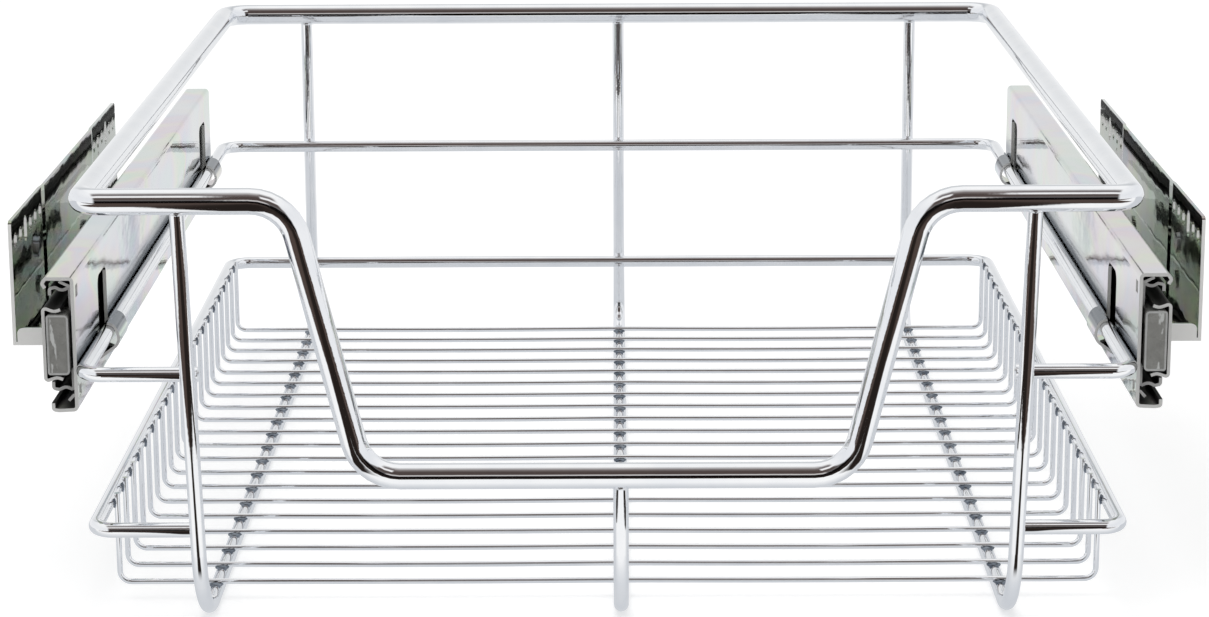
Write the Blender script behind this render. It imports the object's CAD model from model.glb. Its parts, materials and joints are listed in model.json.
# Pull out cabinet basket: a chromed wire basket on two ball bearing slides.
# Lengths in the dictionaries are in millimetres, the stage's in metres, and angles in degrees.
import json
import math

import bmesh
import bpy
from mathutils import Matrix, Vector, noise

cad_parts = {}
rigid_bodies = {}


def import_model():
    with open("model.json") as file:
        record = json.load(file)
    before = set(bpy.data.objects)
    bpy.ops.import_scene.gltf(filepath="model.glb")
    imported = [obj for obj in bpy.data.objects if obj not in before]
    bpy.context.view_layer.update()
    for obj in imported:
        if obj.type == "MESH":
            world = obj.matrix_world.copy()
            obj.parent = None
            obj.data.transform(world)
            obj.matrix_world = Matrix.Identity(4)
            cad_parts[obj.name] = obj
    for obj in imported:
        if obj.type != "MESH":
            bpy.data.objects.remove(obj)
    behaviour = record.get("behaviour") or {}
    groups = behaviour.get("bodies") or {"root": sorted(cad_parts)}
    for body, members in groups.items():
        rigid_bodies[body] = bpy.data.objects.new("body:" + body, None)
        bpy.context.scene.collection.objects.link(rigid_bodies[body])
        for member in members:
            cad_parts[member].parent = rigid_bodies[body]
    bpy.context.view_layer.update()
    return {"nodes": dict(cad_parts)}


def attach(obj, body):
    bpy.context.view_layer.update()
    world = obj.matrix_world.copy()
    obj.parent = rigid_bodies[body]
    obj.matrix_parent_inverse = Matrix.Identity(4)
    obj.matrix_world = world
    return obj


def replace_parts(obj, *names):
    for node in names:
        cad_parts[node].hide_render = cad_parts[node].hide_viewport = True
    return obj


for leftOver in list(bpy.data.objects):
    bpy.data.objects.remove(leftOver)

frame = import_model()
nodes = frame["nodes"]
mm = 0.001
mergeDistance = 0.002
sides = ("left", "right")
print("frame loaded:", len(nodes), "nodes")


# Shader helpers

def addNode(tree, kind, settings=None, values=None):
    node = tree.nodes.new(kind)
    for name, value in (settings or {}).items():
        setattr(node, name, value)
    for name, value in (values or {}).items():
        node.inputs[name].default_value = value
    return node


def newGroup(name, inputs, outputs):
    tree = bpy.data.node_groups.new(name, "ShaderNodeTree")
    for label, kind, value in inputs:
        socket = tree.interface.new_socket(name=label, in_out="INPUT", socket_type="NodeSocket" + kind)
        socket.default_value = value
    for label, kind in outputs:
        tree.interface.new_socket(name=label, in_out="OUTPUT", socket_type="NodeSocket" + kind)
    return tree, tree.nodes.new("NodeGroupInput"), tree.nodes.new("NodeGroupOutput")


def useGroup(tree, group, values):
    node = addNode(tree, "ShaderNodeGroup", {"node_tree": group})
    for name, value in values.items():
        node.inputs[name].default_value = value
    return node


def fillRamp(ramp, stops):
    elements = ramp.color_ramp.elements
    while len(elements) > 1:
        elements.remove(elements[-1])
    for index, (position, color) in enumerate(stops):
        element = elements[0] if index == 0 else elements.new(position)
        element.position = position
        element.color = (*color, 1)


def linkAll(tree, pairs):
    for source, target in pairs:
        tree.links.new(source, target)


def mathNode(tree, operation, second=None):
    return addNode(tree, "ShaderNodeMath", {"operation": operation}, {} if second is None else {1: second})


def smoothStep(tree, start, end):
    return addNode(tree, "ShaderNodeMapRange", {"interpolation_type": "SMOOTHSTEP"},
                   {"From Min": start, "From Max": end})


# Soft clouds over the surface, mapped to a range: used for gloss, tone, ripple and scuffs
cloudGroup, cloudIn, cloudOut = newGroup(
    "softClouds",
    [("Scale", "Float", 40), ("Stretch", "Vector", (1, 1, 1)), ("Low", "Float", 0), ("High", "Float", 1)],
    [("Value", "Float")])
cloudCoord = addNode(cloudGroup, "ShaderNodeTexCoord")
cloudStretch = addNode(cloudGroup, "ShaderNodeVectorMath", {"operation": "MULTIPLY"})
cloudNoise = addNode(cloudGroup, "ShaderNodeTexNoise", values={"Detail": 3, "Roughness": 0.55})
cloudRange = addNode(cloudGroup, "ShaderNodeMapRange", values={"From Min": 0.3, "From Max": 0.7})
linkAll(cloudGroup, (
    (cloudCoord.outputs["Object"], cloudStretch.inputs[0]),
    (cloudIn.outputs["Stretch"], cloudStretch.inputs[1]),
    (cloudStretch.outputs["Vector"], cloudNoise.inputs["Vector"]),
    (cloudIn.outputs["Scale"], cloudNoise.inputs["Scale"]),
    (cloudNoise.outputs["Fac"], cloudRange.inputs["Value"]),
    (cloudIn.outputs["Low"], cloudRange.inputs["To Min"]),
    (cloudIn.outputs["High"], cloudRange.inputs["To Max"]),
    (cloudRange.outputs["Result"], cloudOut.inputs["Value"])))

# Thin colour films of bright zinc plating
zincFilms = [
    (0.00, (0.92, 0.92, 0.92)), (0.32, (0.94, 0.94, 0.93)), (0.40, (0.66, 0.95, 0.66)),
    (0.47, (0.97, 0.94, 0.60)), (0.54, (0.98, 0.68, 0.80)), (0.61, (0.76, 0.72, 0.98)),
    (0.68, (0.62, 0.90, 0.90)), (0.80, (0.93, 0.94, 0.93)), (1.00, (0.92, 0.93, 0.92))]
filmGroup, filmIn, filmOut = newGroup(
    "zincFilm",
    [("Metal", "Color", (0.8, 0.8, 0.8, 1)), ("Scale", "Float", 20), ("Strength", "Float", 0.5)],
    [("Color", "Color")])
filmCoord = addNode(filmGroup, "ShaderNodeTexCoord")
filmStretch = addNode(filmGroup, "ShaderNodeMapping", values={"Scale": (1, 0.6, 1), "Rotation": (0.7, 0, 0)})
filmNoise = addNode(filmGroup, "ShaderNodeTexNoise", values={
    "Detail": 2, "Roughness": 0.45, "Distortion": 1.2})
filmRamp = addNode(filmGroup, "ShaderNodeValToRGB")
fillRamp(filmRamp, zincFilms)
filmPatch = useGroup(filmGroup, cloudGroup, {"Scale": 14, "Low": 0, "High": 1})
filmAmount = addNode(filmGroup, "ShaderNodeMath", {"operation": "MULTIPLY"})
filmTint = addNode(filmGroup, "ShaderNodeMix", {"data_type": "RGBA", "blend_type": "MULTIPLY"})
linkAll(filmGroup, (
    (filmCoord.outputs["Object"], filmStretch.inputs["Vector"]),
    (filmStretch.outputs["Vector"], filmNoise.inputs["Vector"]),
    (filmIn.outputs["Scale"], filmNoise.inputs["Scale"]),
    (filmNoise.outputs["Fac"], filmRamp.inputs["Fac"]),
    (filmPatch.outputs["Value"], filmAmount.inputs[0]),
    (filmIn.outputs["Strength"], filmAmount.inputs[1]),
    (filmAmount.outputs["Value"], filmTint.inputs["Factor"]),
    (filmIn.outputs["Metal"], filmTint.inputs["A"]),
    (filmRamp.outputs["Color"], filmTint.inputs["B"]),
    (filmTint.outputs["Result"], filmOut.inputs["Color"])))

# Faint draw and rolling lines along the sheet, as a height
lineGroup, lineIn, lineOut = newGroup(
    "rollLines", [("Width", "Float", 900), ("Length", "Float", 12)], [("Height", "Float")])
lineCoord = addNode(lineGroup, "ShaderNodeTexCoord")
lineScale = addNode(lineGroup, "ShaderNodeCombineXYZ")
lineStretch = addNode(lineGroup, "ShaderNodeVectorMath", {"operation": "MULTIPLY"})
lineNoise = addNode(lineGroup, "ShaderNodeTexNoise", values={"Scale": 1, "Detail": 2})
linkAll(lineGroup, (
    (lineIn.outputs["Width"], lineScale.inputs["X"]),
    (lineIn.outputs["Length"], lineScale.inputs["Y"]),
    (lineIn.outputs["Width"], lineScale.inputs["Z"]),
    (lineCoord.outputs["Object"], lineStretch.inputs[0]),
    (lineScale.outputs["Vector"], lineStretch.inputs[1]),
    (lineStretch.outputs["Vector"], lineNoise.inputs["Vector"]),
    (lineNoise.outputs["Fac"], lineOut.inputs["Height"])))

# Sheared ends of the sheet, which face along Y and are rough and pale
endSettings = {"facing": (0.80, 0.95)}
endGroup, _, endOut = newGroup("shearedEnds", [], [("Mask", "Float")])
endCoord = addNode(endGroup, "ShaderNodeTexCoord")
endAxes = addNode(endGroup, "ShaderNodeSeparateXYZ")
endFacing = mathNode(endGroup, "ABSOLUTE")
endStep = smoothStep(endGroup, *endSettings["facing"])
linkAll(endGroup, (
    (endCoord.outputs["Normal"], endAxes.inputs["Vector"]),
    (endAxes.outputs["Y"], endFacing.inputs[0]),
    (endFacing.outputs["Value"], endStep.inputs["Value"]),
    (endStep.outputs["Result"], endOut.inputs["Mask"])))

# Dark grease on the ball tracks, inside the slide's lips and flanges, from X = Start outwards
trackSettings = {"blend": 0.2, "toX": (191.1, 190.8), "middleZ": 98.2, "halfZ": (22.9, 22.4)}
trackGroup, trackIn, trackOut = newGroup("greasedTracks", [("Start", "Float", 0.184)], [("Mask", "Float")])
trackCoord = addNode(trackGroup, "ShaderNodeTexCoord")
trackAxes = addNode(trackGroup, "ShaderNodeSeparateXYZ")
trackSide = mathNode(trackGroup, "ABSOLUTE")
trackHeight = mathNode(trackGroup, "SUBTRACT", trackSettings["middleZ"] * mm)
trackUp = mathNode(trackGroup, "ABSOLUTE")
trackStart = smoothStep(trackGroup, 0, 1)
trackBlend = mathNode(trackGroup, "ADD", trackSettings["blend"] * mm)
trackEnd = smoothStep(trackGroup, *(value * mm for value in trackSettings["toX"]))
trackTop = smoothStep(trackGroup, *(value * mm for value in trackSettings["halfZ"]))
trackWide = mathNode(trackGroup, "MULTIPLY")
trackFull = mathNode(trackGroup, "MULTIPLY")
linkAll(trackGroup, (
    (trackCoord.outputs["Object"], trackAxes.inputs["Vector"]),
    (trackAxes.outputs["X"], trackSide.inputs[0]),
    (trackAxes.outputs["Z"], trackHeight.inputs[0]),
    (trackHeight.outputs["Value"], trackUp.inputs[0]),
    (trackSide.outputs["Value"], trackStart.inputs["Value"]),
    (trackIn.outputs["Start"], trackStart.inputs["From Min"]),
    (trackIn.outputs["Start"], trackBlend.inputs[0]),
    (trackBlend.outputs["Value"], trackStart.inputs["From Max"]),
    (trackSide.outputs["Value"], trackEnd.inputs["Value"]),
    (trackUp.outputs["Value"], trackTop.inputs["Value"]),
    (trackStart.outputs["Result"], trackWide.inputs[0]),
    (trackEnd.outputs["Result"], trackWide.inputs[1]),
    (trackWide.outputs["Value"], trackFull.inputs[0]),
    (trackTop.outputs["Result"], trackFull.inputs[1]),
    (trackFull.outputs["Value"], trackOut.inputs["Mask"])))
print("shader groups made")


# Materials

def newMaterial(name, shaderValues):
    material = bpy.data.materials.new(name)
    material.use_nodes = True
    tree = material.node_tree
    shader = tree.nodes["Principled BSDF"]
    for key, value in shaderValues.items():
        shader.inputs[key].default_value = value
    return material, tree, shader


def addGloss(tree, shader, low, high, scale):
    clouds = useGroup(tree, cloudGroup, {"Scale": scale, "Low": low, "High": high})
    tree.links.new(clouds.outputs["Value"], shader.inputs["Roughness"])


# Two tones that drift into each other
def addTone(tree, dark, light, scale):
    tone = addNode(tree, "ShaderNodeMix", {"data_type": "RGBA"})
    tone.inputs["A"].default_value = dark
    tone.inputs["B"].default_value = light
    clouds = useGroup(tree, cloudGroup, {"Scale": scale, "Low": 0, "High": 1})
    tree.links.new(clouds.outputs["Value"], tone.inputs["Factor"])
    return tone.outputs["Result"]


def addBump(tree, shader, output, strength, distance):
    bump = addNode(tree, "ShaderNodeBump", values={"Strength": strength, "Distance": distance})
    tree.links.new(output, bump.inputs["Height"])
    tree.links.new(bump.outputs["Normal"], shader.inputs["Normal"])


def mixOver(tree, mask, below, above):
    mix = addNode(tree, "ShaderNodeMix", {"data_type": "RGBA"})
    mix.inputs["B"].default_value = above
    linkAll(tree, ((mask, mix.inputs["Factor"]), (below, mix.inputs["A"])))
    return mix.outputs["Result"]


def mixNumber(tree, mask, below, above):
    mix = addNode(tree, "ShaderNodeMix", {"data_type": "FLOAT"})
    mix.inputs["B"].default_value = above
    if isinstance(below, float):
        mix.inputs["A"].default_value = below
    else:
        tree.links.new(below, mix.inputs["A"])
    tree.links.new(mask, mix.inputs["Factor"])
    return mix.outputs["Result"]


plateSettings = {
    "endRoughness": 0.5, "endMetal": 0.15, "endBlue": 0.98,
    "greaseColor": (0.012, 0.011, 0.010, 1), "greaseRoughness": 0.70, "greaseMetal": 0.0,
    "rearColor": (0.80, 0.82, 0.79, 1), "rearY": (-10, 95),
    "rubColor": (0.13, 0.15, 0.17, 1), "rubX": (180.8, 180.6),
    "rubTop": (101.5, 93.5), "rubLow": (89.0, 90.5),
    "shineScale": 45, "shineStretch": (1, 0.25, 1), "swellStretch": (1, 0.45, 1),
    "lineWidth": 900, "lineLength": 12, "lineShare": 0.02,
}


# A dull line that the rail has rubbed on the web above it
def rubMask(tree):
    place = addNode(tree, "ShaderNodeTexCoord")
    axes = addNode(tree, "ShaderNodeSeparateXYZ")
    side = mathNode(tree, "ABSOLUTE")
    inside, top, low = (smoothStep(tree, *(value * mm for value in plateSettings[key]))
                        for key in ("rubX", "rubTop", "rubLow"))
    strip = mathNode(tree, "MULTIPLY")
    full = mathNode(tree, "MULTIPLY")
    linkAll(tree, (
        (place.outputs["Object"], axes.inputs["Vector"]),
        (axes.outputs["X"], side.inputs[0]),
        (side.outputs["Value"], inside.inputs["Value"]),
        (axes.outputs["Z"], top.inputs["Value"]),
        (axes.outputs["Z"], low.inputs["Value"]),
        (top.outputs["Result"], strip.inputs[0]),
        (low.outputs["Result"], strip.inputs[1]),
        (strip.outputs["Value"], full.inputs[0]),
        (inside.outputs["Result"], full.inputs[1])))
    return full.outputs["Value"]


# Share of the brighter plating, which grows towards the rear
def rearMask(tree):
    place = addNode(tree, "ShaderNodeTexCoord")
    axes = addNode(tree, "ShaderNodeSeparateXYZ")
    share = smoothStep(tree, *(value * mm for value in plateSettings["rearY"]))
    linkAll(tree, (
        (place.outputs["Object"], axes.inputs["Vector"]),
        (axes.outputs["Y"], share.inputs["Value"])))
    return share.outputs["Result"]


def plateMaterial(name, metal, gloss, film, waves, ends, greasedFrom=None, rubbed=False, brightRear=False):
    material, tree, shader = newMaterial(name, {"Metallic": 1})
    tint = useGroup(tree, filmGroup, {"Metal": (*metal, 1), "Scale": film[0], "Strength": film[1]})
    shine = useGroup(tree, cloudGroup, {
        "Scale": plateSettings["shineScale"], "Stretch": plateSettings["shineStretch"],
        "Low": gloss[0], "High": gloss[1]})
    color, roughness, metallic = tint.outputs["Color"], shine.outputs["Value"], 1.0
    if brightRear:
        color = mixOver(tree, rearMask(tree), color, plateSettings["rearColor"])
    if rubbed:
        color = mixOver(tree, rubMask(tree), color, plateSettings["rubColor"])
    if greasedFrom:
        tracks = useGroup(tree, trackGroup, {"Start": greasedFrom * mm}).outputs["Mask"]
        color = mixOver(tree, tracks, color, plateSettings["greaseColor"])
        roughness = mixNumber(tree, tracks, roughness, plateSettings["greaseRoughness"])
        metallic = mixNumber(tree, tracks, metallic, plateSettings["greaseMetal"])
    sheared = useGroup(tree, endGroup, {}).outputs["Mask"]
    color = mixOver(tree, sheared, color, (ends, ends, plateSettings["endBlue"] * ends, 1))
    roughness = mixNumber(tree, sheared, roughness, plateSettings["endRoughness"])
    metallic = mixNumber(tree, sheared, metallic, plateSettings["endMetal"])
    linkAll(tree, (
        (color, shader.inputs["Base Color"]), (roughness, shader.inputs["Roughness"]),
        (metallic, shader.inputs["Metallic"])))
    lines = useGroup(tree, lineGroup, {
        "Width": plateSettings["lineWidth"], "Length": plateSettings["lineLength"]})
    swell = useGroup(tree, cloudGroup, {
        "Scale": waves[0], "Stretch": plateSettings["swellStretch"], "Low": 0, "High": 1})
    both = mathNode(tree, "MULTIPLY_ADD", plateSettings["lineShare"])
    linkAll(tree, ((lines.outputs["Height"], both.inputs[0]), (swell.outputs["Value"], both.inputs[2])))
    addBump(tree, shader, both.outputs["Value"], 1, waves[1] * mm)
    return material


chromeSettings = {
    "dark": (0.86, 0.875, 0.90, 1), "light": (0.93, 0.935, 0.945, 1), "toneScale": 70,
    "gloss": (0.03, 0.07), "glossScale": 120,
    "rippleScale": 110, "rippleStrength": 0.06, "rippleDepth": 0.25,
}


def chromeMaterial():
    material, tree, shader = newMaterial("polishedChrome", {"Metallic": 1})
    tone = addTone(tree, chromeSettings["dark"], chromeSettings["light"], chromeSettings["toneScale"])
    tree.links.new(tone, shader.inputs["Base Color"])
    addGloss(tree, shader, *chromeSettings["gloss"], chromeSettings["glossScale"])
    ripple = useGroup(tree, cloudGroup, {"Scale": chromeSettings["rippleScale"], "Low": 0, "High": 1})
    addBump(tree, shader, ripple.outputs["Value"], chromeSettings["rippleStrength"],
            chromeSettings["rippleDepth"] * mm)
    return material


burntSettings = {
    "dark": (0.10, 0.12, 0.15, 1), "light": (0.30, 0.33, 0.37, 1), "toneScale": 300,
    "gloss": (0.12, 0.28), "glossScale": 200,
}


# Heat has left the weld beads darker than the chrome
def weldMaterial():
    material, tree, shader = newMaterial("burntWeld", {"Metallic": 1})
    tone = addTone(tree, burntSettings["dark"], burntSettings["light"], burntSettings["toneScale"])
    tree.links.new(tone, shader.inputs["Base Color"])
    addGloss(tree, shader, *burntSettings["gloss"], burntSettings["glossScale"])
    return material


scuffSettings = {
    "color": (0.50, 0.51, 0.50, 1), "fromX": (186.7, 187.3), "toX": (189.2, 188.6),
    "scale": 520, "stretch": (1, 1, 0.3), "threshold": (0.55, 0.68),
}


# Pale upright scuffs on the outer half of an end plate
def scuffMask(tree):
    place = addNode(tree, "ShaderNodeTexCoord")
    axes = addNode(tree, "ShaderNodeSeparateXYZ")
    side = mathNode(tree, "ABSOLUTE")
    start = smoothStep(tree, *(value * mm for value in scuffSettings["fromX"]))
    end = smoothStep(tree, *(value * mm for value in scuffSettings["toX"]))
    spots = useGroup(tree, cloudGroup, {
        "Scale": scuffSettings["scale"], "Stretch": scuffSettings["stretch"], "Low": 0, "High": 1})
    sharp = smoothStep(tree, *scuffSettings["threshold"])
    strip = mathNode(tree, "MULTIPLY")
    full = mathNode(tree, "MULTIPLY")
    linkAll(tree, (
        (place.outputs["Object"], axes.inputs["Vector"]),
        (axes.outputs["X"], side.inputs[0]),
        (side.outputs["Value"], start.inputs["Value"]),
        (side.outputs["Value"], end.inputs["Value"]),
        (spots.outputs["Value"], sharp.inputs["Value"]),
        (start.outputs["Result"], strip.inputs[0]),
        (end.outputs["Result"], strip.inputs[1]),
        (strip.outputs["Value"], full.inputs[0]),
        (sharp.outputs["Result"], full.inputs[1])))
    return full.outputs["Value"]


plasticSettings = {
    "lightShare": 1.35, "toneScale": 260, "glossScale": 150, "poreScale": 2600, "poreDepth": 0.05,
}


def plasticMaterial(name, color, gloss, grain, scuffed=False):
    material, tree, shader = newMaterial(name, {"IOR": 1.5})
    light = (min(1, plasticSettings["lightShare"] * part) for part in color)
    surface = addTone(tree, (*color, 1), (*light, 1), plasticSettings["toneScale"])
    if scuffed:
        surface = mixOver(tree, scuffMask(tree), surface, scuffSettings["color"])
    tree.links.new(surface, shader.inputs["Base Color"])
    addGloss(tree, shader, *gloss, plasticSettings["glossScale"])
    pores = useGroup(tree, cloudGroup, {"Scale": plasticSettings["poreScale"], "Low": 0, "High": 1})
    addBump(tree, shader, pores.outputs["Value"], grain, plasticSettings["poreDepth"] * mm)
    return material


# Finishes: gloss is a range of roughness, film is scale and strength, waves are scale and depth,
# ends is the tone of the sheared ends and greasedFrom the X where the grease starts
plateFinishes = {
    "brightZinc": {"metal": (0.74, 0.755, 0.75), "gloss": (0.04, 0.10), "film": (26, 0.9),
                   "waves": (40, 0.10), "ends": 0.60, "greasedFrom": 181.3, "rubbed": True},
    "oiledZinc": {"metal": (0.42, 0.42, 0.40), "gloss": (0.08, 0.16), "film": (30, 0.5),
                  "waves": (40, 0.10), "ends": 0.60, "greasedFrom": 184.0},
    "cabinetZinc": {"metal": (0.50, 0.51, 0.50), "gloss": (0.08, 0.16), "film": (30, 0.6),
                    "waves": (40, 0.10), "ends": 0.60, "greasedFrom": 184.0},
    "rainbowZinc": {"metal": (0.44, 0.48, 0.44), "gloss": (0.02, 0.05), "film": (34, 1.0),
                    "waves": (28, 0.12), "ends": 0.85, "brightRear": True},
    "cageSteel": {"metal": (0.10, 0.095, 0.085), "gloss": (0.25, 0.38), "film": (60, 0.3),
                  "waves": (60, 0.05), "ends": 0.10},
    "ballSteel": {"metal": (0.62, 0.62, 0.62), "gloss": (0.05, 0.10), "film": (60, 0.2),
                  "waves": (60, 0.01), "ends": 0.60},
}
plasticFinishes = {
    "greyPlastic": {"color": (0.19, 0.19, 0.18), "gloss": (0.22, 0.34), "grain": 0.2, "scuffed": True},
    "palePlastic": {"color": (0.33, 0.335, 0.33), "gloss": (0.25, 0.38), "grain": 0.15},
    "blackNylon": {"color": (0.018, 0.018, 0.019), "gloss": (0.40, 0.55), "grain": 0.5},
}
chrome = chromeMaterial()
burntWeld = weldMaterial()
metals = {name: plateMaterial(name, **finish) for name, finish in plateFinishes.items()}
plastics = {name: plasticMaterial(name, **finish) for name, finish in plasticFinishes.items()}
print("materials made")


# Piece helpers

def finishPiece(shape, name, body, material):
    mesh = bpy.data.meshes.new(name)
    shape.to_mesh(mesh)
    shape.free()
    mesh.materials.append(material)
    piece = bpy.data.objects.new(name, mesh)
    bpy.context.scene.collection.objects.link(piece)
    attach(piece, body)
    return piece


def softEdges(shape, sharpAngle):
    for face in shape.faces:
        face.smooth = True
    for edge in shape.edges:
        edge.smooth = len(edge.link_faces) == 2 and edge.calc_face_angle(0) < math.radians(sharpAngle)


def mergedCopy(nodeName):
    shape = bmesh.new()
    shape.from_mesh(nodes[nodeName].data)
    bmesh.ops.remove_doubles(shape, verts=shape.verts, dist=mergeDistance * mm)
    return shape


def dress(names, material):
    for name in names:
        nodes[name].data.materials.clear()
        nodes[name].data.materials.append(material)


# Wires: the rim, rails and long wires
dress(["middle_rail", "tray_rail", "long_wire_left", "long_wire_middle", "long_wire_right"], chrome)

rimSettings = {"sharpAngle": 60}
rim = mergedCopy("rim_frame")
softEdges(rim, rimSettings["sharpAngle"])
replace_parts(finishPiece(rim, "rimRod", "basket", chrome), "rim_frame")
print("rim made")

# Floor wires sag a little between the long wires
floorSettings = {
    "count": 20, "cuts": 28, "endMargin": 8, "belowZ": 12, "sharpAngle": 50,
    "supports": (-172, -138.4, 4.7, 138.4, 172), "sag": (0.05, 0.25, 0.25, 0.05),
    "unevenness": 0.18, "seedStep": 3.7, "placeStep": 0.1,
}


def sagAt(x, seed):
    supports = floorSettings["supports"]
    for left, right, depth in zip(supports, supports[1:], floorSettings["sag"]):
        if left < x < right:
            wave = math.sin(math.pi * (x - left) / (right - left))
            chance = noise.noise((seed * floorSettings["seedStep"], left * floorSettings["placeStep"], 0))
            return wave * (depth + floorSettings["unevenness"] * chance)
    return 0


reach = floorSettings["supports"][-1] - floorSettings["endMargin"]
for index in range(1, floorSettings["count"] + 1):
    nodeName = f"floor_wire_{index:02d}"
    wire = mergedCopy(nodeName)
    for cut in range(floorSettings["cuts"] + 1):
        x = -reach + 2 * reach * cut / floorSettings["cuts"]
        bmesh.ops.bisect_plane(
            wire, geom=wire.verts[:] + wire.edges[:] + wire.faces[:],
            plane_co=(x * mm, 0, 0), plane_no=(1, 0, 0))
    for vert in wire.verts:
        if vert.co.z < floorSettings["belowZ"] * mm:
            vert.co.z -= sagAt(vert.co.x / mm, index) * mm
    softEdges(wire, floorSettings["sharpAngle"])
    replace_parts(finishPiece(wire, f"floorWire{index:02d}", "basket", chrome), nodeName)
print("floor wires made")

# Weld beads where wires cross or butt on each other
weldSettings = {
    "segments": 12, "rings": 8, "lump": 0.16, "lumpScale": 1.3, "seedDrift": 0.7, "sharpAngle": 80,
    "longX": (-138.4, 4.7, 138.4), "longTop": 5.1, "longSize": (2.7, 2.8, 0.9),
    "floorY": -176.6, "floorPitch": 19.59, "floorCount": 20,
    "traySideX": 173.1, "trayZ": 35.05, "traySize": (0.7, 1.5, 1.9),
    "railZ": (89.95, 35.05), "railY": 211.5, "railSize": (2.2, 0.8, 2.2),
    "legTop": 146.4, "legY": 214, "legSize": (2.9, 2.9, 1.0), "handleTop": 51.2,
    "legLean": 1.7, "legFoot": 2.6, "outerFrom": 50,
    "floorSeed": 2.3, "traySeed": 1.9, "sideSeed": 50, "rearSeed": 0.3, "frontSeed": 0.5, "seedShift": 9,
}


# The seed only varies a bead's lumps
def addBead(shape, place, size, seed):
    made = bmesh.ops.create_uvsphere(
        shape, u_segments=weldSettings["segments"], v_segments=weldSettings["rings"], radius=1)
    place, size = Vector(place), Vector(size)
    drift = Vector((seed, seed * weldSettings["seedDrift"], 0))
    for vert in made["verts"]:
        lump = 1 + weldSettings["lump"] * noise.noise(vert.co * weldSettings["lumpScale"] + drift)
        vert.co = (place + vert.co * size * lump) * mm


floorWelds = bmesh.new()
for row in range(weldSettings["floorCount"]):
    y = weldSettings["floorY"] + weldSettings["floorPitch"] * row
    for x in weldSettings["longX"]:
        addBead(floorWelds, (x, y, weldSettings["longTop"]), weldSettings["longSize"],
                row * weldSettings["floorSeed"] + x)
    for side in (-1, 1):
        addBead(floorWelds, (side * weldSettings["traySideX"], y, weldSettings["trayZ"]),
                weldSettings["traySize"], row * weldSettings["traySeed"] + side * weldSettings["sideSeed"])
softEdges(floorWelds, weldSettings["sharpAngle"])
finishPiece(floorWelds, "floorWelds", "basket", burntWeld)

frameWelds = bmesh.new()
lean = math.tan(math.radians(weldSettings["legLean"]))
for x in weldSettings["longX"]:
    outer = 0 if abs(x) < weldSettings["outerFrom"] else math.copysign(1, x)
    for z in weldSettings["railZ"]:
        addBead(frameWelds, (x, weldSettings["railY"], z), weldSettings["railSize"], x + z)
        if outer:
            legX = x + outer * lean * (z - weldSettings["legFoot"])
            addBead(frameWelds, (legX, -weldSettings["railY"], z), weldSettings["railSize"], x - z)
    addBead(frameWelds, (x, weldSettings["legY"], weldSettings["legTop"]), weldSettings["legSize"],
            x * weldSettings["rearSeed"])
    top = weldSettings["legTop"] if outer else weldSettings["handleTop"]
    legX = x + outer * lean * (top - weldSettings["legFoot"])
    addBead(frameWelds, (legX, -weldSettings["legY"], top), weldSettings["legSize"],
            x * weldSettings["frontSeed"] + weldSettings["seedShift"])
softEdges(frameWelds, weldSettings["sharpAngle"])
finishPiece(frameWelds, "frameWelds", "basket", chrome)
print("welds made")


# End plates: a pale raised border round a darker panel that is set back a little
plateFaceSettings = {
    "corner": 0.9, "cornerAngle": 80, "cornerSegments": 4, "alongY": 0.99,
    "edge": 0.2, "edgeAngle": 40, "edgeSegments": 2, "edgeShare": 0.9,
    "border": 0.55, "step": 0.15, "panelDepth": 0.2, "flatAngle": 0.5, "sharpAngle": 35,
}


def sharpEdges(shape, angle):
    return [edge for edge in shape.edges
            if len(edge.link_faces) == 2 and edge.calc_face_angle(0) > math.radians(angle)]


def endPlate(side):
    shape = mergedCopy(f"end_plate_{side}")
    bmesh.ops.dissolve_limit(
        shape, angle_limit=math.radians(plateFaceSettings["flatAngle"]), verts=shape.verts, edges=shape.edges)
    corners = [edge for edge in sharpEdges(shape, plateFaceSettings["cornerAngle"])
               if abs((edge.verts[0].co - edge.verts[1].co).normalized().y) > plateFaceSettings["alongY"]]
    bmesh.ops.bevel(
        shape, geom=corners, offset=plateFaceSettings["corner"] * mm, offset_type="OFFSET",
        segments=plateFaceSettings["cornerSegments"], profile=0.5, affect="EDGES",
        clamp_overlap=True, material=-1)
    bmesh.ops.bevel(
        shape, geom=sharpEdges(shape, plateFaceSettings["edgeAngle"]),
        offset=plateFaceSettings["edge"] * mm, offset_type="OFFSET",
        segments=plateFaceSettings["edgeSegments"], profile=0.5, affect="EDGES",
        clamp_overlap=True, material=-1)
    front = min(shape.faces, key=lambda face: face.calc_center_median().y)
    borderY = front.calc_center_median().y + plateFaceSettings["edgeShare"] * plateFaceSettings["edge"] * mm
    bmesh.ops.inset_region(
        shape, faces=[front], thickness=plateFaceSettings["border"] * mm, use_even_offset=True)
    bmesh.ops.inset_region(
        shape, faces=[front], thickness=plateFaceSettings["step"] * mm,
        depth=-plateFaceSettings["panelDepth"] * mm, use_even_offset=True)
    for face in shape.faces:
        if face != front and face.calc_center_median().y < borderY:
            face.material_index = 1
    softEdges(shape, plateFaceSettings["sharpAngle"])
    piece = finishPiece(
        shape, f"endPlate{side.capitalize()}", f"intermediate_{side}",
        plastics["greyPlastic"])
    piece.data.materials.append(plastics["palePlastic"])
    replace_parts(piece, f"end_plate_{side}")


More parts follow.
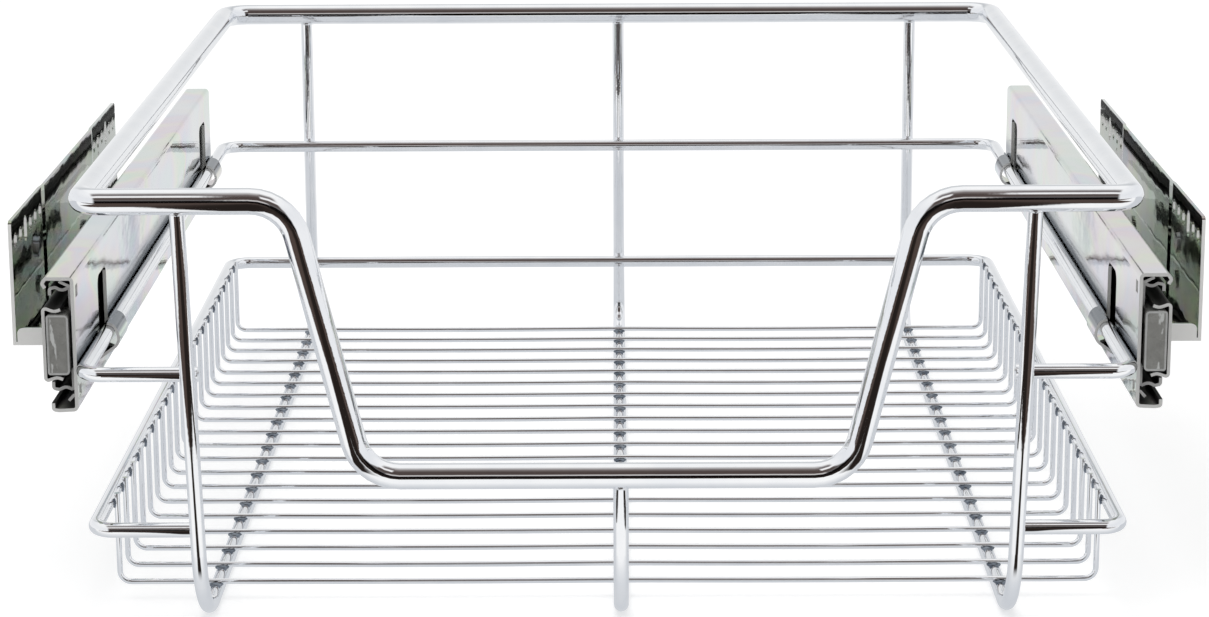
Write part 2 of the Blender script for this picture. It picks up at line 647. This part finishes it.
for side in sides:
    dress([f"basket_channel_{side}"], metals["brightZinc"])
    dress([f"intermediate_channel_{side}"], metals["oiledZinc"])
    dress([f"cabinet_channel_{side}"], metals["cabinetZinc"])
    dress([f"bracket_{side}"], metals["rainbowZinc"])
    dress([f"outer_cage_{side}", f"inner_cage_{side}"], metals["cageSteel"])
    dress([f"outer_balls_{side}", f"inner_balls_{side}"], metals["ballSteel"])
    endPlate(side)
    dress([f"rear_bumper_{side}"], plastics["blackNylon"])
dress(["rivets"], metals["rainbowZinc"])
print("slides dressed")


# Stage: a pale floor. Reflections don't show the floor that the camera sees, but one with a dark
# zone towards the front and a narrow dark strip in front of each outer leg.
stageSettings = {
    "floorSize": 3.0, "floorCells": 8, "floorColor": (0.80, 0.80, 0.80), "floorLift": 0.36,
    "seenFrom": -0.6, "seenTo": 0.6,
    "seenStops": [
        (0.00, (1, 1, 1)), (0.28, (1, 1, 1)), (0.33, (0.66, 0.68, 0.71)), (0.70, (0.66, 0.68, 0.71)),
        (0.78, (0.86, 0.87, 0.88)), (1.00, (0.86, 0.87, 0.88))],
    "darkReach": (0.435, 0.465), "darkStretch": 1.5, "darkY": (-0.13, -0.17), "darkX": (0.56, 0.50),
    "darkFar": (-0.90, -1.10), "darkTurn": (0.16, 0.26),
    "darkMiddle": (0.020, 0.015, 0.013), "darkSide": (0.080, 0.058, 0.050),
    "legX": 0.138, "legY": -0.196, "legSpread": (0.38, 0.28), "legStart": (0.030, 0.050),
    "legInner": (0.09, 0.12),
    "softLevel": 0.80, "lampPower": 6, "lampSize": 1.2,
    "lampPlace": (-0.3, -0.2, 1.6), "lampAim": (0, 0, 0.08),
}

floorShape = bmesh.new()
bmesh.ops.create_grid(
    floorShape, x_segments=stageSettings["floorCells"], y_segments=stageSettings["floorCells"],
    size=stageSettings["floorSize"])
floorMesh = bpy.data.meshes.new("paleFloor")
floorShape.to_mesh(floorMesh)
floorShape.free()
floor = bpy.data.objects.new("paleFloor", floorMesh)
bpy.context.scene.collection.objects.link(floor)

floorMaterial = bpy.data.materials.new("paleFloor")
floorMaterial.use_nodes = True
tree = floorMaterial.node_tree
tree.nodes.clear()
floorOut = addNode(tree, "ShaderNodeOutputMaterial")
matte = addNode(tree, "ShaderNodeBsdfDiffuse", values={"Color": (*stageSettings["floorColor"], 1)})
lift = addNode(tree, "ShaderNodeEmission", values={"Color": (1, 1, 1, 1)})
both = addNode(tree, "ShaderNodeAddShader")
seen = addNode(tree, "ShaderNodeEmission", values={"Strength": 1})
rays = addNode(tree, "ShaderNodeLightPath")
directRay = mathNode(tree, "MAXIMUM")
liftLevel = mathNode(tree, "MULTIPLY", stageSettings["floorLift"])
place = addNode(tree, "ShaderNodeTexCoord")
axes = addNode(tree, "ShaderNodeSeparateXYZ")
along = addNode(tree, "ShaderNodeMapRange", values={
    "From Min": stageSettings["seenFrom"], "From Max": stageSettings["seenTo"]})
seenRamp = addNode(tree, "ShaderNodeValToRGB")
fillRamp(seenRamp, stageSettings["seenStops"])
aside = mathNode(tree, "ABSOLUTE")
squeezed = mathNode(tree, "DIVIDE", stageSettings["darkStretch"])
spot = addNode(tree, "ShaderNodeCombineXYZ")
reachOut = addNode(tree, "ShaderNodeVectorMath", {"operation": "LENGTH"})
darkOut = smoothStep(tree, *stageSettings["darkReach"])
darkFront = smoothStep(tree, *stageSettings["darkY"])
darkEnd = smoothStep(tree, *stageSettings["darkX"])
darkFar = smoothStep(tree, *stageSettings["darkFar"])
darkWide = mathNode(tree, "MAXIMUM")
darkTurn = smoothStep(tree, *stageSettings["darkTurn"])
darkNear = mathNode(tree, "MULTIPLY")
darkFull = mathNode(tree, "MULTIPLY")
legAside = mathNode(tree, "SUBTRACT", stageSettings["legX"])
legAhead = addNode(tree, "ShaderNodeMath", {"operation": "SUBTRACT"}, {0: stageSettings["legY"]})
legTurn = mathNode(tree, "DIVIDE")
legOff = mathNode(tree, "ABSOLUTE")
legNarrow = smoothStep(tree, *stageSettings["legSpread"])
legFront = smoothStep(tree, *stageSettings["legStart"])
legInner = smoothStep(tree, *stageSettings["legInner"])
legNear = mathNode(tree, "MULTIPLY")
legDark = mathNode(tree, "MULTIPLY")
darkAll = mathNode(tree, "MAXIMUM")
darkMix = addNode(tree, "ShaderNodeMix", {"data_type": "RGBA"})
darkMix.inputs["A"].default_value = (*stageSettings["darkMiddle"], 1)
darkMix.inputs["B"].default_value = (*stageSettings["darkSide"], 1)
seenMix = addNode(tree, "ShaderNodeMix", {"data_type": "RGBA"})
choose = addNode(tree, "ShaderNodeMixShader")
linkAll(tree, (
    (rays.outputs["Is Camera Ray"], directRay.inputs[0]),
    (rays.outputs["Is Transmission Ray"], directRay.inputs[1]),
    (directRay.outputs["Value"], liftLevel.inputs[0]),
    (liftLevel.outputs["Value"], lift.inputs["Strength"]),
    (matte.outputs["BSDF"], both.inputs[0]),
    (lift.outputs["Emission"], both.inputs[1]),
    (place.outputs["Object"], axes.inputs["Vector"]),
    (axes.outputs["Y"], along.inputs["Value"]),
    (along.outputs["Result"], seenRamp.inputs["Fac"]),
    (axes.outputs["X"], aside.inputs[0]),
    (aside.outputs["Value"], squeezed.inputs[0]),
    (squeezed.outputs["Value"], spot.inputs["X"]),
    (axes.outputs["Y"], spot.inputs["Y"]),
    (spot.outputs["Vector"], reachOut.inputs[0]),
    (reachOut.outputs["Value"], darkOut.inputs["Value"]),
    (axes.outputs["Y"], darkFront.inputs["Value"]),
    (aside.outputs["Value"], darkEnd.inputs["Value"]),
    (aside.outputs["Value"], darkTurn.inputs["Value"]),
    (darkOut.outputs["Result"], darkNear.inputs[0]),
    (darkFront.outputs["Result"], darkNear.inputs[1]),
    (darkNear.outputs["Value"], darkFull.inputs[0]),
    (axes.outputs["Y"], darkFar.inputs["Value"]),
    (darkEnd.outputs["Result"], darkWide.inputs[0]),
    (darkFar.outputs["Result"], darkWide.inputs[1]),
    (darkWide.outputs["Value"], darkFull.inputs[1]),
    (darkTurn.outputs["Result"], darkMix.inputs["Factor"]),
    (aside.outputs["Value"], legAside.inputs[0]),
    (axes.outputs["Y"], legAhead.inputs[1]),
    (legAside.outputs["Value"], legTurn.inputs[0]),
    (legAhead.outputs["Value"], legTurn.inputs[1]),
    (legTurn.outputs["Value"], legOff.inputs[0]),
    (legOff.outputs["Value"], legNarrow.inputs["Value"]),
    (legAhead.outputs["Value"], legFront.inputs["Value"]),
    (aside.outputs["Value"], legInner.inputs["Value"]),
    (legNarrow.outputs["Result"], legNear.inputs[0]),
    (legFront.outputs["Result"], legNear.inputs[1]),
    (legNear.outputs["Value"], legDark.inputs[0]),
    (legInner.outputs["Result"], legDark.inputs[1]),
    (darkFull.outputs["Value"], darkAll.inputs[0]),
    (legDark.outputs["Value"], darkAll.inputs[1]),
    (darkAll.outputs["Value"], seenMix.inputs["Factor"]),
    (seenRamp.outputs["Color"], seenMix.inputs["A"]),
    (darkMix.outputs["Result"], seenMix.inputs["B"]),
    (seenMix.outputs["Result"], seen.inputs["Color"]),
    (rays.outputs["Is Glossy Ray"], choose.inputs["Fac"]),
    (both.outputs["Shader"], choose.inputs[1]),
    (seen.outputs["Emission"], choose.inputs[2]),
    (choose.outputs["Shader"], floorOut.inputs["Surface"])))
floorMesh.materials.append(floorMaterial)

# Surroundings that only reflections show, with a dark room towards the front. Turn runs from the
# front horizon over the top to the rear one.
rearStops = [
    (0.53, (1, 1, 1)), (0.72, (1, 1, 1)), (0.80, (0.58, 0.60, 0.62)), (0.92, (0.80, 0.81, 0.82)),
    (1.0, (0.90, 0.91, 0.92))]
roomSettings = {
    "turnStops": [
        (0.000, (0.004, 0.003, 0.003)), (0.070, (0.006, 0.005, 0.005)), (0.085, (0.66, 0.63, 0.62)),
        (0.120, (0.58, 0.55, 0.54)), (0.145, (0.075, 0.055, 0.050)), (0.27, (0.085, 0.065, 0.060)),
        (0.36, (0.20, 0.17, 0.165)), (0.47, (0.62, 0.61, 0.61)), *rearStops],
    "asideStops": [
        (0.000, (0.004, 0.003, 0.003)), (0.085, (0.006, 0.005, 0.005)), (0.10, (0.16, 0.15, 0.15)),
        (0.12, (0.14, 0.13, 0.13)), (0.145, (0.100, 0.080, 0.075)), (0.235, (0.090, 0.070, 0.065)),
        (0.265, (1, 0.98, 0.98)), (0.325, (0.90, 0.89, 0.89)), (0.350, (0.20, 0.18, 0.18)),
        (0.420, (0.22, 0.20, 0.20)), (0.470, (0.66, 0.65, 0.65)), *rearStops],
    "asideFrom": 0.085, "asideTo": 0.135,
    "sideStops": [(0.0, (0.90, 0.91, 0.93)), (0.5, (0.86, 0.87, 0.89)), (1.0, (1, 1, 1))],
    "sideFrom": 0.38, "sideTo": 0.52,
}
world = bpy.data.worlds.new("studio")
bpy.context.scene.world = world
world.use_nodes = True
tree = world.node_tree
tree.nodes.clear()
worldOut = addNode(tree, "ShaderNodeOutputWorld")
worldCoord = addNode(tree, "ShaderNodeTexCoord")
axes = addNode(tree, "ShaderNodeSeparateXYZ")
towardsFront = mathNode(tree, "MULTIPLY", -1)
aboveHorizon = mathNode(tree, "MAXIMUM", 0)
turn = mathNode(tree, "ARCTAN2")
turnShare = mathNode(tree, "DIVIDE", math.pi)
turnRamp = addNode(tree, "ShaderNodeValToRGB")
fillRamp(turnRamp, roomSettings["turnStops"])
sideRamp = addNode(tree, "ShaderNodeValToRGB")
fillRamp(sideRamp, roomSettings["sideStops"])
asideRamp = addNode(tree, "ShaderNodeValToRGB")
fillRamp(asideRamp, roomSettings["asideStops"])
asideAmount = smoothStep(tree, roomSettings["asideFrom"], roomSettings["asideTo"])
asideMix = addNode(tree, "ShaderNodeMix", {"data_type": "RGBA"})
sideways = mathNode(tree, "ABSOLUTE")
sideAmount = smoothStep(tree, roomSettings["sideFrom"], roomSettings["sideTo"])
roomMix = addNode(tree, "ShaderNodeMix", {"data_type": "RGBA"})
worldRays = addNode(tree, "ShaderNodeLightPath")
room = addNode(tree, "ShaderNodeBackground", values={"Strength": 1})
soft = addNode(tree, "ShaderNodeBackground", values={
    "Color": (1, 1, 1, 1), "Strength": stageSettings["softLevel"]})
white = addNode(tree, "ShaderNodeBackground", values={"Color": (1, 1, 1, 1), "Strength": 1})
softOrRoom = addNode(tree, "ShaderNodeMixShader")
directWorld = mathNode(tree, "MAXIMUM")
whiteOrRest = addNode(tree, "ShaderNodeMixShader")
linkAll(tree, (
    (worldCoord.outputs["Generated"], axes.inputs["Vector"]),
    (axes.outputs["Y"], towardsFront.inputs[0]),
    (axes.outputs["Z"], aboveHorizon.inputs[0]),
    (aboveHorizon.outputs["Value"], turn.inputs[0]),
    (towardsFront.outputs["Value"], turn.inputs[1]),
    (turn.outputs["Value"], turnShare.inputs[0]),
    (turnShare.outputs["Value"], turnRamp.inputs["Fac"]),
    (axes.outputs["Z"], sideRamp.inputs["Fac"]),
    (axes.outputs["X"], sideways.inputs[0]),
    (sideways.outputs["Value"], sideAmount.inputs["Value"]),
    (sideAmount.outputs["Result"], roomMix.inputs["Factor"]),
    (turnShare.outputs["Value"], asideRamp.inputs["Fac"]),
    (sideways.outputs["Value"], asideAmount.inputs["Value"]),
    (asideAmount.outputs["Result"], asideMix.inputs["Factor"]),
    (turnRamp.outputs["Color"], asideMix.inputs["A"]),
    (asideRamp.outputs["Color"], asideMix.inputs["B"]),
    (asideMix.outputs["Result"], roomMix.inputs["A"]),
    (sideRamp.outputs["Color"], roomMix.inputs["B"]),
    (roomMix.outputs["Result"], room.inputs["Color"]),
    (worldRays.outputs["Is Glossy Ray"], softOrRoom.inputs["Fac"]),
    (soft.outputs["Background"], softOrRoom.inputs[1]),
    (room.outputs["Background"], softOrRoom.inputs[2]),
    (worldRays.outputs["Is Camera Ray"], directWorld.inputs[0]),
    (worldRays.outputs["Is Transmission Ray"], directWorld.inputs[1]),
    (directWorld.outputs["Value"], whiteOrRest.inputs["Fac"]),
    (softOrRoom.outputs["Shader"], whiteOrRest.inputs[1]),
    (white.outputs["Background"], whiteOrRest.inputs[2]),
    (whiteOrRest.outputs["Shader"], worldOut.inputs["Surface"])))

lampData = bpy.data.lights.new("softTop", "AREA")
lampData.shape = "SQUARE"
lampData.size = stageSettings["lampSize"]
lampData.energy = stageSettings["lampPower"]
lamp = bpy.data.objects.new("softTop", lampData)
lamp.location = stageSettings["lampPlace"]
lamp.visible_glossy = False
lamp.rotation_euler = (Vector(stageSettings["lampAim"]) - lamp.location).to_track_quat("-Z", "Y").to_euler()
bpy.context.scene.collection.objects.link(lamp)

scene = bpy.context.scene
scene.view_settings.view_transform = "Standard"

# Camera
cameraSettings = {
    "place": (3.2, -1279.7, 367.95), "down": 13.43, "turn": 0.204, "roll": -0.265,
    "focalPixels": 3276.2, "imageWidth": 1209, "sensor": 36, "clipStart": 50,
}
cameraData = bpy.data.cameras.new("camera")
cameraData.sensor_fit = "HORIZONTAL"
cameraData.sensor_width = cameraSettings["sensor"]
cameraData.lens = cameraSettings["sensor"] * cameraSettings["focalPixels"] / cameraSettings["imageWidth"]
cameraData.clip_start = cameraSettings["clipStart"] * mm
camera = bpy.data.objects.new("camera", cameraData)
camera.matrix_world = (
    Matrix.Translation(Vector(cameraSettings["place"]) * mm)
    @ Matrix.Rotation(math.radians(cameraSettings["turn"]), 4, "Z")
    @ Matrix.Rotation(math.radians(90 - cameraSettings["down"]), 4, "X")
    @ Matrix.Rotation(math.radians(cameraSettings["roll"]), 4, "Z"))
scene.collection.objects.link(camera)
scene.camera = camera
print("stage and camera set")
